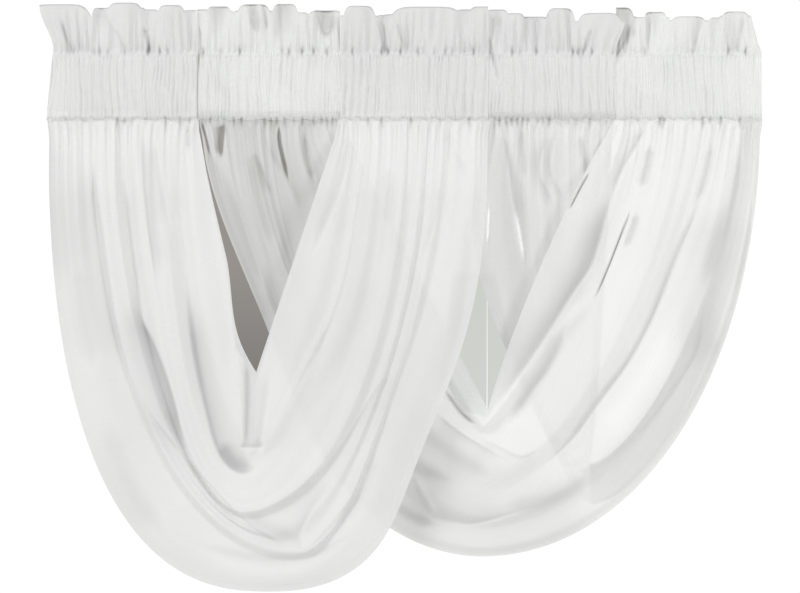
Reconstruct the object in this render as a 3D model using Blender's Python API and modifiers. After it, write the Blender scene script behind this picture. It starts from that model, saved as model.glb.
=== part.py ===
"""Sheer voile valance: three gathered strips, draped as overlapping swags from a rod pocket heading.

All sizes below are in millimetres. X runs along the rod, -Y is the front and Z is up.
The origin is the middle of the rod channel.
"""
import math
from collections import namedtuple

import bmesh
import bpy

MM = 0.001

# Rod pocket: the flat tube that takes a wide flat rod.
POCKET_TOP = 41.0
POCKET_BOTTOM = -41.0
SEAM_HALF_THICKNESS = 1.3
GATHER_DEPTH = 0.8

# Half depth of the pocket and of the rod channel at each height, from the top down.
Profile = namedtuple("Profile", "z half_depth")
POCKET_PROFILE = [Profile(33, 8.0), Profile(0, 9.5), Profile(-33, 8.0)]
CHANNEL_PROFILE = [Profile(38, 0.0), Profile(32, 5.0), Profile(16, 5.8), Profile(0, 6.0),
                   Profile(-16, 5.8), Profile(-32, 5.0), Profile(-38, 0.0)]
CHANNEL_REACH = 480.0

# Ruffle that stands above the pocket.
RUFFLE_HALF_THICKNESS = 0.9
RUFFLE_WAVE = 7.5
RUFFLE_LEAN = 0.35
RUFFLE_LEAST = 14.0

HEADING_COLUMNS = 30
FIT_GAP = 0.3
SEAM_DROP = 0.6

# Cloth of the swags.
CLOTH_THICKNESS = 1.8
STEPS_BETWEEN_FOLDS = 2
GATHERED_SHARE = 0.22
GATHER_RELEASE = 130.0
LAYER_RELEASE = 95.0

# A row per heading, left to right: its ends, how far the bottom seam stands forward (minus) or
# back, how far each end is drawn in at the top seam, how far each ruffle end flares out and how
# far it leans forward (minus) or back.
Heading = namedtuple("Heading", "name left right seam_y "
                     "pinch_left flare_left lean_left flare_right lean_right")
HEADINGS = [
    Heading("heading_1", -448, -260, -4, 8, 9, 2, 0, -3),
    Heading("heading_2", -260, -81, 0, 0, 0, 4, 0, 3),
    Heading("heading_3", -81, 104, -4, 0, 0, -3, 0, -4),
    Heading("heading_4", 104, 264, 4, 0, 0, 3, 10, -9),
    Heading("heading_5", 264, 446, 0, 0, 0, 5, -6, 0),
]

# A row per lobe of a ruffle, left to right: its middle and half width along the rod, the height of
# its top, how far it swings forward (minus) or back as a share of the wave, and the depth of the
# notch at its sides.
Lobe = namedtuple("Lobe", "middle half_width top swing notch")
RUFFLE_LOBES = {
    "heading_1": [
        Lobe(-432, 41, 103, -1.0, 18), Lobe(-381, 11, 99, 0.4, 13), Lobe(-350, 20, 105, -1.0, 6),
        Lobe(-320, 13, 97, 0.3, 6), Lobe(-292, 16, 102, -0.9, 7), Lobe(-266, 11, 96, 0.3, 3)],
    "heading_2": [
        Lobe(-253, 9, 97, -0.5, 3), Lobe(-233, 15, 101, 0.9, 6), Lobe(-189, 20, 103, -0.9, 8),
        Lobe(-150, 16, 104, 0.9, 11), Lobe(-129, 9, 93, -0.6, 6), Lobe(-99, 21, 96, 0.7, 5)],
    "heading_3": [
        Lobe(-57, 20, 101, -0.9, 12), Lobe(-24, 12, 90, 0.6, 3), Lobe(27, 43, 100, -0.8, 9),
        Lobe(76, 12, 97, 0.5, 4), Lobe(97, 16, 100, -0.8, 5)],
    "heading_4": [
        Lobe(119, 10, 96, 0.4, 6), Lobe(137, 12, 92, -0.5, 5), Lobe(161, 18, 88, 0.5, 3),
        Lobe(194, 19, 98, -1.0, 18), Lobe(243, 27, 92, -0.9, 10)],
    "heading_5": [
        Lobe(268, 18, 100, 0.9, 12), Lobe(296, 9, 87, -0.4, 4), Lobe(313, 14, 94, 0.5, 7),
        Lobe(354, 21, 88, -0.8, 5), Lobe(391, 11, 87, 0.4, 4), Lobe(413, 16, 94, -0.8, 5)],
}

# A row per fold of a swag, from the neckline to the hem. Each arm of a fold leaves its heading at
# left_x or right_x and sweeps to the bottom point. The bow says how round the arm is: 1 runs
# straight to the bottom and 2 is a quarter of an ellipse. The depths push the fold forward
# (minus) or back on the left arm, at the bottom and on the right arm.
Fold = namedtuple("Fold", "left_x left_bow left_depth bottom_x bottom_z bottom_depth "
                  "right_x right_bow right_depth")

LEFT_SWAG_FOLDS = [
    Fold(-261, 1.05, -1, -185, -356, -2, -80, 1.00, 0),
    Fold(-270, 1.60, -6, -189, -439, -9, -69, 1.30, -4),
    Fold(-281, 2.20, 7, -194, -469, 5, -59, 1.55, 3),
    Fold(-300, 2.10, -3, -198, -500, 0, -41, 1.70, -5),
    Fold(-312, 2.05, -5, -200, -516, -4, -16, 1.85, 4),
    Fold(-325, 1.95, -6, -202, -529, -8, 0, 2.00, -7),
    Fold(-354, 1.75, 7, -198, -539, 4, 12, 2.00, 4),
    Fold(-366, 1.90, -4, -171, -556, -4, 21, 1.90, -3),
    Fold(-376, 2.05, -5, -146, -567, 2, 31, 1.70, 4),
    Fold(-384, 2.10, -4, -129, -580, -7, 44, 1.65, -5),
    Fold(-391, 2.05, 4, -141, -591, 4, 56, 1.70, 4),
    Fold(-416, 2.35, -4, -156, -610, -3, 79, 1.95, -5),
    Fold(-444, 2.50, 4, -169, -629, 3, 103, 2.40, 2),
]

RIGHT_SWAG_FOLDS = [
    Fold(-82, 1.00, 1, 104, -404, -2, 265, 0.88, 2),
    Fold(-99, 1.10, -3, 99, -423, -7, 279, 1.20, -5),
    Fold(-113, 1.15, 5, 94, -434, 4, 294, 1.40, 6),
    Fold(-141, 1.50, -6, 129, -470, -8, 338, 1.50, -7),
    Fold(-166, 1.80, 5, 119, -505, 4, 391, 1.45, 5),
    Fold(-194, 1.60, -5, 96, -536, -5, 416, 1.80, -4),
    Fold(-211, 1.75, 4, 94, -553, 2, 429, 1.90, 3),
    Fold(-231, 1.80, -3, 94, -573, -3, 438, 2.00, -2),
    Fold(-254, 1.90, 3, 94, -587, 3, 444, 2.07, 2),
]

BACK_SWAG_FOLDS = [
    Fold(259, 1.30, 0, 232, -472, 0, 421, 1.55, 0),
    Fold(226, 1.30, -4, 232, -484, -3, 425, 1.57, -3),
    Fold(194, 1.40, 4, 232, -495, 2, 429, 1.60, 2),
    Fold(156, 1.60, -5, 233, -505, -3, 433, 1.62, -3),
    Fold(129, 1.60, 3, 234, -514, 2, 437, 1.64, 2),
    Fold(106, 1.50, -2, 234, -523, 0, 441, 1.66, 0),
]

# A row per swag: its folds, how many stations it has along its length, where its cloth leaves the
# seam, where its layer hangs lower down, how far the hem of an arm is drawn in at its waist (the
# two powers set how low the waist sits) and how far the left of the neckline hooks out low down.
Swag = namedtuple("Swag", "name folds stations seam_y layer_y "
                  "waist_left waist_left_power waist_right waist_right_power neck_hook")
SWAGS = [
    Swag("swag_left", LEFT_SWAG_FOLDS, 32, -4, -30, 0, 1, 26, 2, 10),
    Swag("swag_right", RIGHT_SWAG_FOLDS, 30, 0, 0, 34, 1, 0, 1, 0),
    Swag("swag_back", BACK_SWAG_FOLDS, 26, 4, 23, -36, 0.66, 0, 1, 0),
]


def smooth(value):
    """Ease from 0 to 1 with level ends."""
    value = min(1.0, max(0.0, value))
    return value * value * (3.0 - 2.0 * value)


def blend(first, second, share):
    return first + (second - first) * share


def clear_scene():
    for thing in list(bpy.data.objects):
        bpy.data.objects.remove(thing, do_unlink=True)


def new_collection(name):
    collection = bpy.data.collections.new(name)
    bpy.context.scene.collection.children.link(collection)
    return collection


def cloth_material(name, colour):
    material = bpy.data.materials.new(name)
    material.use_nodes = True
    shader = material.node_tree.nodes["Principled BSDF"]
    shader.inputs["Base Color"].default_value = (*colour, 1.0)
    shader.inputs["Roughness"].default_value = 0.85
    return material


def add_object(name, mesh, collection, material=None):
    thing = bpy.data.objects.new(name, mesh)
    collection.objects.link(thing)
    if material:
        mesh.materials.append(material)
    return thing


def between_folds(folds, position):
    """Values of every column at a position that counts in folds: depths ease, the rest runs even."""
    index = min(int(position), len(folds) - 2)
    share = position - index
    eased = smooth(share)
    row = {}
    for column in Fold._fields:
        first = getattr(folds[index], column)
        second = getattr(folds[index + 1], column)
        row[column] = blend(first, second, eased if column.endswith("depth") else share)
    return row


def swag_point(swag, position, angle):
    """One point of a swag: position picks the fold line, angle runs along it.

    Each arm is a quarter of a rounded square: x falls off with a power of the cosine and the drop
    grows with the same power of the sine, so angle 0 is at the heading and pi/2 at the bottom.
    """
    row = between_folds(swag.folds, position)
    on_left = angle <= math.pi / 2
    side = "left" if on_left else "right"
    bow = row[side + "_bow"]
    across = abs(math.cos(angle)) ** (2.0 / bow)
    down = math.sin(angle) ** (2.0 / bow) if angle < math.pi - 1e-9 else 0.0
    top = POCKET_BOTTOM - SEAM_DROP
    drop = (top - row["bottom_z"]) * down
    hem_share = (position / (len(swag.folds) - 1)) ** 4
    if on_left:
        waist = swag.waist_left * hem_share * math.sin(math.pi * down ** swag.waist_left_power) ** 2
        neck_share = max(0.0, 1.0 - position / 1.5) ** 2
        waist -= swag.neck_hook * neck_share * math.sin(math.pi * max(0.0, down / 0.45 - 11 / 9) ** 1.5)
    else:
        waist = -swag.waist_right * hem_share * math.sin(math.pi * down ** swag.waist_right_power) ** 2
    x = blend(row["bottom_x"], row[side + "_x"], across) + waist
    z = top - drop
    low = math.sin(angle) ** 4
    fold_depth = blend(row[side + "_depth"], row["bottom_depth"], low)
    release = blend(GATHERED_SHARE, 1.0, smooth(drop / GATHER_RELEASE))
    layer = blend(swag.seam_y, swag.layer_y, smooth(drop / LAYER_RELEASE))
    return x * MM, (layer + fold_depth * release) * MM, z * MM


def build_swag(swag, collection, material):
    """A flat grid moved onto the folds, then given its thickness."""
    rows = (len(swag.folds) - 1) * STEPS_BETWEEN_FOLDS
    mesh = bpy.data.meshes.new(swag.name)
    grid = bmesh.new()
    bmesh.ops.create_grid(grid, x_segments=swag.stations, y_segments=rows, size=0.5)
    for vertex in grid.verts:
        angle = (vertex.co.x + 0.5) * math.pi
        position = (0.5 - vertex.co.y) * (len(swag.folds) - 1)
        vertex.co = swag_point(swag, position, min(math.pi, max(0.0, angle)))
    bmesh.ops.recalc_face_normals(grid, faces=grid.faces)
    grid.to_mesh(mesh)
    grid.free()
    thing = add_object(swag.name, mesh, collection, material)
    thickness = thing.modifiers.new("cloth thickness", "SOLIDIFY")
    thickness.thickness = CLOTH_THICKNESS * MM
    thickness.offset = 0.0
    return thing


def ruffle_edge(lobes, x):
    """Height and swing of a ruffle's edge: each lobe is a flat-topped hill, and between lobes the
    edge dips into a notch and swings to the other side."""
    top, swing = POCKET_TOP + RUFFLE_LEAST, -RUFFLE_LEAN
    for lobe in lobes:
        away = abs(x - lobe.middle) / lobe.half_width
        top = max(top, lobe.top - lobe.notch * away ** 5)
        if away < 1.2:
            swing += (lobe.swing + RUFFLE_LEAN) * math.cos(math.pi * away / 2.4) ** 2
    return top, swing


def heading_section(heading, share, column):
    """Outline of the heading at one place along it, as (x, y, z) from the front of the ruffle down
    the front of the pocket, under the seam and back up behind."""
    width = heading.right - heading.left - FIT_GAP
    x = heading.left + FIT_GAP / 2 + width * share
    from_left = smooth(1.0 - share * width / 45.0)
    from_right = smooth(1.0 - (1.0 - share) * width / 45.0)
    gather = GATHER_DEPTH if column % 2 else -GATHER_DEPTH
    lean = heading.lean_left * from_left + heading.lean_right * from_right
    pinch = heading.pinch_left * from_left
    flare = heading.flare_right * from_right - (heading.flare_left + heading.pinch_left) * from_left
    ruffle_top, wave = ruffle_edge(RUFFLE_LOBES[heading.name], x + pinch + flare)
    front = []
    for height, half, middle, shift in (
            (1.0, RUFFLE_HALF_THICKNESS, wave * RUFFLE_WAVE + lean, pinch + flare),
            (0.4, RUFFLE_HALF_THICKNESS, 0.5 * wave * RUFFLE_WAVE + 0.4 * lean, pinch)):
        front.append((shift, middle, half, blend(POCKET_TOP, ruffle_top, height)))
    front.append((pinch, 0.0, SEAM_HALF_THICKNESS, POCKET_TOP))
    for z, half in POCKET_PROFILE:
        front.append((pinch * (z - POCKET_BOTTOM) / (POCKET_TOP - POCKET_BOTTOM), 0.0,
                      half + gather, z))
    front.append((0.0, heading.seam_y, SEAM_HALF_THICKNESS, POCKET_BOTTOM))
    outline = [((x + shift) * MM, (middle - half) * MM, z * MM) for shift, middle, half, z in front]
    outline += [((x + shift) * MM, (middle + half) * MM, z * MM)
                for shift, middle, half, z in reversed(front)]
    return outline


def build_heading(heading, collection, material, channel):
    """Sections joined along the rod, closed at both ends, with the rod channel cut through."""
    mesh = bpy.data.meshes.new(heading.name)
    shell = bmesh.new()
    rings = []
    for column in range(HEADING_COLUMNS + 1):
        outline = heading_section(heading, column / HEADING_COLUMNS, column)
        rings.append([shell.verts.new(point) for point in outline])
    count = len(rings[0])
    for near, far in zip(rings, rings[1:]):
        for k in range(count):
            shell.faces.new((near[k], near[(k + 1) % count], far[(k + 1) % count], far[k]))
    for ring in (rings[0], rings[-1]):
        for k in range(count // 2 - 1):
            shell.faces.new((ring[k], ring[k + 1], ring[count - 2 - k], ring[count - 1 - k]))
    bmesh.ops.recalc_face_normals(shell, faces=shell.faces)
    shell.to_mesh(mesh)
    shell.free()
    thing = add_object(heading.name, mesh, collection, material)
    cut = thing.modifiers.new("rod channel", "BOOLEAN")
    cut.operation = "DIFFERENCE"
    cut.solver = "EXACT"
    cut.object = channel
    return thing


def build_channel(collection):
    """Flat-sided bar that cuts the rod channel through every heading."""
    front = [(-half, z) for z, half in CHANNEL_PROFILE]
    lens = front + [(-y, z) for y, z in reversed(front[1:-1])]
    mesh = bpy.data.meshes.new("rod_channel_cutter")
    bar = bmesh.new()
    ends = [[bar.verts.new((x * MM, y * MM, z * MM)) for y, z in lens] for x in (-CHANNEL_REACH, CHANNEL_REACH)]
    count = len(lens)
    for k in range(count):
        bar.faces.new((ends[0][k], ends[0][(k + 1) % count], ends[1][(k + 1) % count], ends[1][k]))
    bar.faces.new(ends[0])
    bar.faces.new(list(reversed(ends[1])))
    bmesh.ops.recalc_face_normals(bar, faces=bar.faces)
    bar.to_mesh(mesh)
    bar.free()
    cutter = add_object("rod_channel_cutter", mesh, collection)
    cutter.hide_render = True
    cutter.display_type = "WIRE"
    return cutter


def main():
    clear_scene()
    parts = new_collection("sheer_valance")
    cutters = new_collection("cutters")
    cool = cloth_material("voile_cool_white", (0.74, 0.76, 0.77))
    warm = cloth_material("voile_warm_white", (0.84, 0.84, 0.82))
    channel = build_channel(cutters)
    for index, heading in enumerate(HEADINGS):
        build_heading(heading, parts, warm if index in (1, 4) else cool, channel)
    for swag in SWAGS:
        build_swag(swag, parts, warm if swag.name == "swag_right" else cool)


main()
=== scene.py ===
"""Looks of the sheer valance: voile swags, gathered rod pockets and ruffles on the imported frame.

Tables are in millimetres as in part.py: X along the rod, -Y the front, Z up, origin mid channel.
"""
import math
from collections import namedtuple

import bpy
import numpy as np
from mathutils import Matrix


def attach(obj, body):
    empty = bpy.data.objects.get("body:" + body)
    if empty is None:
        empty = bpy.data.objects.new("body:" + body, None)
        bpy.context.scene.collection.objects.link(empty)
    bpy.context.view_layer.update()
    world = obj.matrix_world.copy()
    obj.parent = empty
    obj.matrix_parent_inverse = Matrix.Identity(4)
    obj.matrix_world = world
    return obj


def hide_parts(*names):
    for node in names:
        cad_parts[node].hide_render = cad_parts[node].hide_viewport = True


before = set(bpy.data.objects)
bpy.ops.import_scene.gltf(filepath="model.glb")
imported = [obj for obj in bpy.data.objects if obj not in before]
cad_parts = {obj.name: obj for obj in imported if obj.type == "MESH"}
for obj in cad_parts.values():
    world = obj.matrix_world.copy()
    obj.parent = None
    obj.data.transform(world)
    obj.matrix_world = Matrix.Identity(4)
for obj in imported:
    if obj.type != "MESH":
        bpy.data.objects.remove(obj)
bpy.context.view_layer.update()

MM = 0.001

# Sizes that part.py shares, in the same names.
POCKET_TOP, POCKET_BOTTOM = 41.0, -41.0
SEAM_HALF_THICKNESS, RUFFLE_HALF_THICKNESS = 1.3, 0.9
RUFFLE_WAVE, RUFFLE_LEAN, RUFFLE_LEAST = 7.5, 0.35, 14.0
FIT_GAP, SEAM_DROP = 0.3, 0.6
GATHERED_SHARE, GATHER_RELEASE, LAYER_RELEASE = 0.22, 130.0, 95.0

Heading = namedtuple("Heading", "name left right seam_y "
                     "pinch_left flare_left lean_left flare_right lean_right")
HEADINGS = [
    Heading("heading_1", -448, -260, -4, 8, 9, 2, 0, -3),
    Heading("heading_2", -260, -81, 0, 0, 0, 4, 0, 3),
    Heading("heading_3", -81, 104, -4, 0, 0, -3, 0, -4),
    Heading("heading_4", 104, 264, 4, 0, 0, 3, 10, -9),
    Heading("heading_5", 264, 446, 0, 0, 0, 5, -6, 0),
]

# A row per fold from the neckline to the hem, as in part.py.
Fold = namedtuple("Fold", "left_x left_bow left_depth bottom_x bottom_z bottom_depth "
                  "right_x right_bow right_depth")
LEFT_SWAG_FOLDS = [
    Fold(-261, 1.05, -1, -185, -356, -2, -80, 1.00, 0),
    Fold(-270, 1.60, -6, -189, -439, -9, -69, 1.30, -4),
    Fold(-281, 2.20, 7, -194, -469, 5, -59, 1.55, 3),
    Fold(-300, 2.10, -3, -198, -500, 0, -41, 1.70, -5),
    Fold(-312, 2.05, -5, -200, -516, -4, -16, 1.85, 4),
    Fold(-325, 1.95, -6, -202, -529, -8, 0, 2.00, -7),
    Fold(-354, 1.75, 7, -198, -539, 4, 12, 2.00, 4),
    Fold(-366, 1.90, -4, -171, -556, -4, 21, 1.90, -3),
    Fold(-376, 2.05, -5, -146, -567, 2, 31, 1.70, 4),
    Fold(-384, 2.10, -4, -129, -580, -7, 44, 1.65, -5),
    Fold(-391, 2.05, 4, -141, -591, 4, 56, 1.70, 4),
    Fold(-416, 2.35, -4, -156, -610, -3, 79, 1.95, -5),
    Fold(-444, 2.50, 4, -169, -629, 3, 103, 2.40, 2),
]
RIGHT_SWAG_FOLDS = [
    Fold(-82, 1.00, 1, 104, -404, -2, 265, 0.88, 2),
    Fold(-99, 1.10, -3, 99, -423, -7, 279, 1.20, -5),
    Fold(-113, 1.15, 5, 94, -434, 4, 294, 1.40, 6),
    Fold(-141, 1.50, -6, 129, -470, -8, 338, 1.50, -7),
    Fold(-166, 1.80, 5, 119, -505, 4, 391, 1.45, 5),
    Fold(-194, 1.60, -5, 96, -536, -5, 416, 1.80, -4),
    Fold(-211, 1.75, 4, 94, -553, 2, 429, 1.90, 3),
    Fold(-231, 1.80, -3, 94, -573, -3, 438, 2.00, -2),
    Fold(-254, 1.90, 3, 94, -587, 3, 444, 2.07, 2),
]
BACK_SWAG_FOLDS = [
    Fold(259, 1.30, 0, 232, -472, 0, 421, 1.55, 0),
    Fold(226, 1.30, -4, 232, -484, -3, 425, 1.57, -3),
    Fold(194, 1.40, 4, 232, -495, 2, 429, 1.60, 2),
    Fold(156, 1.60, -5, 233, -505, -3, 433, 1.62, -3),
    Fold(129, 1.60, 3, 234, -514, 2, 437, 1.64, 2),
    Fold(106, 1.50, -2, 234, -523, 0, 441, 1.66, 0),
]
Swag = namedtuple("Swag", "name folds seam_y layer_y waist_left waist_left_power "
                  "waist_right waist_right_power neck_hook")
SWAG_LEFT = Swag("swag_left", LEFT_SWAG_FOLDS, -4, -30, 0, 1, 26, 2, 10)
SWAG_RIGHT = Swag("swag_right", RIGHT_SWAG_FOLDS, 0, 0, 34, 1, 0, 1, 0)
SWAG_BACK = Swag("swag_back", BACK_SWAG_FOLDS, 4, 23, -36, 0.66, 0, 1, 0)

# Creases, listed one by one.
# A trough sinks and a ridge stands out with an even round section. Under left or under right is an
# edge, seen from its top, with the cloth on that side dipping beneath it. The cover value counts the
# cloth folded double there, and it is also painted shade: it darkens the cloth along the crease, and
# beside an under edge on the side that dips, fading away from the edge. A negative cover value paints
# the cloth lighter along its line, as a painted highlight. The path is a smooth curve through (x, z)
# points, from the top down.
Crease = namedtuple("Crease", "kind depth width cover path")
LEFT_SWAG_CREASES = [
    Crease("under_left", 5, 18, 0.7,
           ((-392, -68), (-384, -129), (-376, -179), (-366, -254), (-356, -310), (-338, -381))),
    Crease("under_left", 4, 18, 0.45,
           ((-346, -350), (-312, -414), (-264, -471), (-206, -534), (-168, -562), (-122, -586))),
    Crease("under_right", 3, 10, 0.5,
           ((-358, -44), (-351, -104), (-346, -166), (-339, -229), (-330, -290))),
    Crease("under_left", 5.5, 16, 2.1,
           ((-338, -236), (-328, -289), (-316, -313), (-302, -346), (-288, -388), (-278, -429),
            (-266, -472))),
    Crease("under_right", 5, 12, 1.0,
           ((-330, -44), (-327, -90), (-323, -140), (-316, -200), (-306, -262))),
    Crease("under_left", 3, 8, 0.4, ((-312, -62), (-302, -120), (-290, -190))),
    Crease("under_right", 6, 12, 2.0,
           ((-275, -228), (-271, -279), (-266, -322), (-258, -364), (-248, -404), (-236, -446),
            (-218, -474), (-196, -482), (-176, -468))),
    Crease("trough", 3, 3, 1.0, ((-271, -48), (-270, -80))),
    Crease("ridge", 4, 9, -0.1,
           ((-246, -80), (-229, -160), (-219, -229), (-209, -304), (-205, -379), (-203, -450))),
    Crease("under_right", 5, 9, 1.4, ((-199, -335), (-199, -372), (-199, -420), (-199, -462))),
    Crease("under_right", 4, 5, 1.0, ((-206, -449), (-198, -450), (-182, -450), (-174, -448))),
    Crease("under_left", 3, 8, 0.6, ((-166, -350), (-172, -390), (-177, -425), (-183, -462))),
    Crease("ridge", 5, 10, -0.1, ((-96, -280), (-125, -360), (-144, -398), (-162, -431), (-186, -470))),
    Crease("under_right", 3, 15, 0.6,
           ((-10, -352), (-34, -375), (-58, -414), (-91, -461), (-130, -500), (-168, -524),
            (-206, -535))),
    Crease("trough", 2, 10, 0.7, ((-204, -527), (-179, -547), (-156, -557), (-130, -567))),
    Crease("trough", 2, 9, 1.2, ((-230, -442), (-214, -466), (-186, -478))),
    Crease("under_left", 3, 12, 0.6,
           ((-82, -482), (-110, -519), (-126, -548), (-131, -566), (-123, -584))),
    Crease("under_right", 2, 10, 0.4, ((-50, -492), (-88, -541), (-124, -580))),
    Crease("trough", 2, 9, 0.3, ((-34, -450), (-52, -505), (-88, -556))),
    Crease("under_left", 5, 10, 0.9, ((-64, -44), (-70, -84), (-80, -124), (-98, -170), (-118, -220))),
    Crease("under_right", 3, 14, 0.4,
           ((-44, -54), (-58, -139), (-71, -221), (-91, -289), (-120, -346), (-164, -432))),
    Crease("trough", 3, 14, 0.3,
           ((-30, -150), (-48, -260), (-71, -318), (-106, -379), (-144, -441), (-182, -508))),
    Crease("under_left", 2, 15, 0.35,
           ((48, -90), (41, -159), (21, -221), (9, -291), (-2, -341), (-31, -416), (-74, -486))),
    Crease("under_left", 3, 8, 0.5, ((55, -52), (64, -79), (82, -118))),
    Crease("trough", 3, 6, 0.4, ((-18, -96), (-21, -182))),
    Crease("trough", 2, 8, 0.2, ((80, -150), (78, -230), (64, -320), (40, -392))),
    Crease("trough", 3, 7, 0.4, ((-276, -566), (-188, -590), (-125, -587), (-64, -560))),
    Crease("trough", 4, 16, 0.4, ((-372, -410), (-355, -470), (-331, -522), (-290, -572))),
    Crease("trough", 4, 15, 0.3, ((-404, -220), (-399, -290), (-386, -366))),
    Crease("trough", 1, 28, 0.5, ((-438, -50), (-433, -150), (-420, -270))),
    Crease("ridge", 4, 12, 0.0, ((-300, -140), (-292, -230), (-280, -320), (-262, -400))),
]
RIGHT_SWAG_CREASES = [
    Crease("under_left", 6, 20, 1.6,
           ((262, -128), (252, -162), (234, -221), (209, -260), (175, -312), (132, -375), (108, -410))),
    Crease("under_left", 5, 8, 1.4, ((298, -50), (291, -72), (271, -106), (256, -148))),
    Crease("trough", 4, 1.1, 2.6, ((286, -144), (269, -188), (252, -231), (233, -276))),
    Crease("trough", 4, 1.1, 2.6, ((232, -104), (218, -129), (203, -158))),
    Crease("trough", 2, 19, 0.5, ((262, -120), (232, -196), (200, -262), (160, -322), (118, -386))),
    Crease("trough", 4, 5, 1.2, ((307, -70), (302, -100), (293, -132))),
    Crease("trough", 4, 4, 1.0, ((291, -156), (284, -180), (273, -206))),
    Crease("ridge", 5, 9, -0.3, ((240, -262), (208, -292), (176, -332), (146, -378))),
    Crease("trough", 4, 9, 1.1, ((206, -290), (182, -336), (155, -380), (126, -428))),
    Crease("ridge", 3, 24, -0.1,
           ((344, -54), (306, -172), (276, -269), (219, -385), (161, -471), (116, -498))),
    Crease("trough", 4, 4.5, 0.9,
           ((390, -104), (344, -198), (305, -294), (276, -346), (238, -394), (204, -442), (164, -486))),
    Crease("ridge", 2, 20, -0.55, ((346, -268), (314, -340), (275, -400), (240, -462))),
    Crease("under_right", 3, 12, 0.5,
           ((374, -262), (366, -318), (349, -356), (305, -414), (258, -461), (226, -488))),
    Crease("trough", 3, 9, 0.8, ((422, -60), (414, -125), (391, -198), (368, -268))),
    Crease("trough", 3, 6, 0.6, ((384, -66), (378, -110), (362, -150))),
    Crease("under_left", 3, 12, 0.5, ((436, -90), (432, -180), (414, -270))),
    Crease("trough", 1, 34, 0.7, ((396, -130), (384, -250), (344, -370))),
    Crease("trough", 1, 14, 0.6,
           ((392, -220), (384, -300), (373, -345), (352, -390), (312, -443), (262, -492), (226, -524))),
    Crease("trough", 1, 50, 0.75, ((-20, -470), (60, -528), (150, -540), (260, -484))),
    Crease("ridge", 4, 7, -0.3, ((208, -456), (219, -466), (231, -484))),
    Crease("trough", 2, 11, 0.6, ((236, -482), (200, -510), (158, -522), (120, -524))),
    Crease("trough", 5, 2.4, 1.4, ((44, -372), (60, -394), (72, -409), (94, -425))),
    Crease("under_left", 6, 11, 1.0, ((34, -404), (60, -426), (84, -442), (136, -472))),
    Crease("under_left", 3, 8, 0.6, ((94, -436), (120, -452), (146, -462), (172, -450))),
    Crease("trough", 5, 8, 1.0, ((-40, -436), (4, -466), (14, -474), (28, -482), (64, -496))),
    Crease("ridge", 4, 5, -0.2, ((9, -472), (24, -508), (42, -541))),
    Crease("trough", 4, 7, 0.9, ((-60, -490), (-12, -524), (9, -537), (44, -550))),
    Crease("under_right", 4, 12, 0.6, ((26, -536), (60, -545), (94, -546), (166, -524))),
    Crease("trough", 3, 12, 0.6, ((0, -420), (60, -462), (110, -490))),
    Crease("trough", 1, 40, 0.7, ((-20, -330), (0, -430), (10, -500), (40, -600))),
    Crease("under_left", 4, 8, 0.9, ((-224, -91), (-206, -160), (-190, -210), (-172, -262))),
    Crease("under_right", 4, 8, 0.8, ((-200, -80), (-186, -150), (-168, -210))),
    Crease("under_left", 4, 6, 1.6, ((-188, -80), (-180, -100), (-162, -140))),
    Crease("ridge", 3, 6, 0.0, ((-186, -56), (-144, -116), (-121, -156))),
    # painted shade: of the next four rows, those with a cover of 3 or more draw narrow dark slits for the
    # shadowed wall seen through gaps in this arm
    Crease("trough", 5, 2.0, 6.0, ((-158, -44), (-157, -68), (-152, -92), (-145, -120))),
    Crease("under_right", 4, 12, 0.8, ((-182, -60), (-160, -98), (-142, -128), (-128, -160))),
    Crease("under_left", 4, 5, 9.0, ((-226, -44), (-227, -62), (-230, -92))),
    Crease("trough", 3, 1.6, 3.0, ((-256, -40), (-250, -60), (-243, -92))),
    Crease("trough", 4, 4, 1.0, ((-128, -50), (-122, -92), (-112, -120))),
    # painted shade: the last two wide troughs darken this arm where it hangs in the shade of the left swag
    Crease("trough", 2, 26, 0.9, ((-112, 20), (-120, -60), (-128, -130), (-140, -240))),
    Crease("trough", 2, 48, 1.3, ((-190, 60), (-182, -90), (-165, -220), (-130, -400))),
]
BACK_SWAG_CREASES = [
    Crease("under_right", 4, 7, 1.0, ((119, -48), (128, -91), (134, -132), (142, -179))),
    Crease("trough", 3, 3.2, -0.95, ((138, -150), (143, -178), (151, -226))),
    Crease("trough", 3, 2, -0.95, ((106, -142), (104.5, -170), (103, -200))),
    Crease("trough", 3, 5, 0.7, ((144, -48), (151, -120))),
    Crease("under_left", 4, 8, 1.0, ((176, -56), (169, -104), (178, -128), (194, -160))),
    Crease("under_left", 4, 7, 0.9, ((191, -52), (182, -101), (206, -150))),
    Crease("trough", 3, 5, 0.8, ((218, -60), (232, -114))),
]
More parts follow.
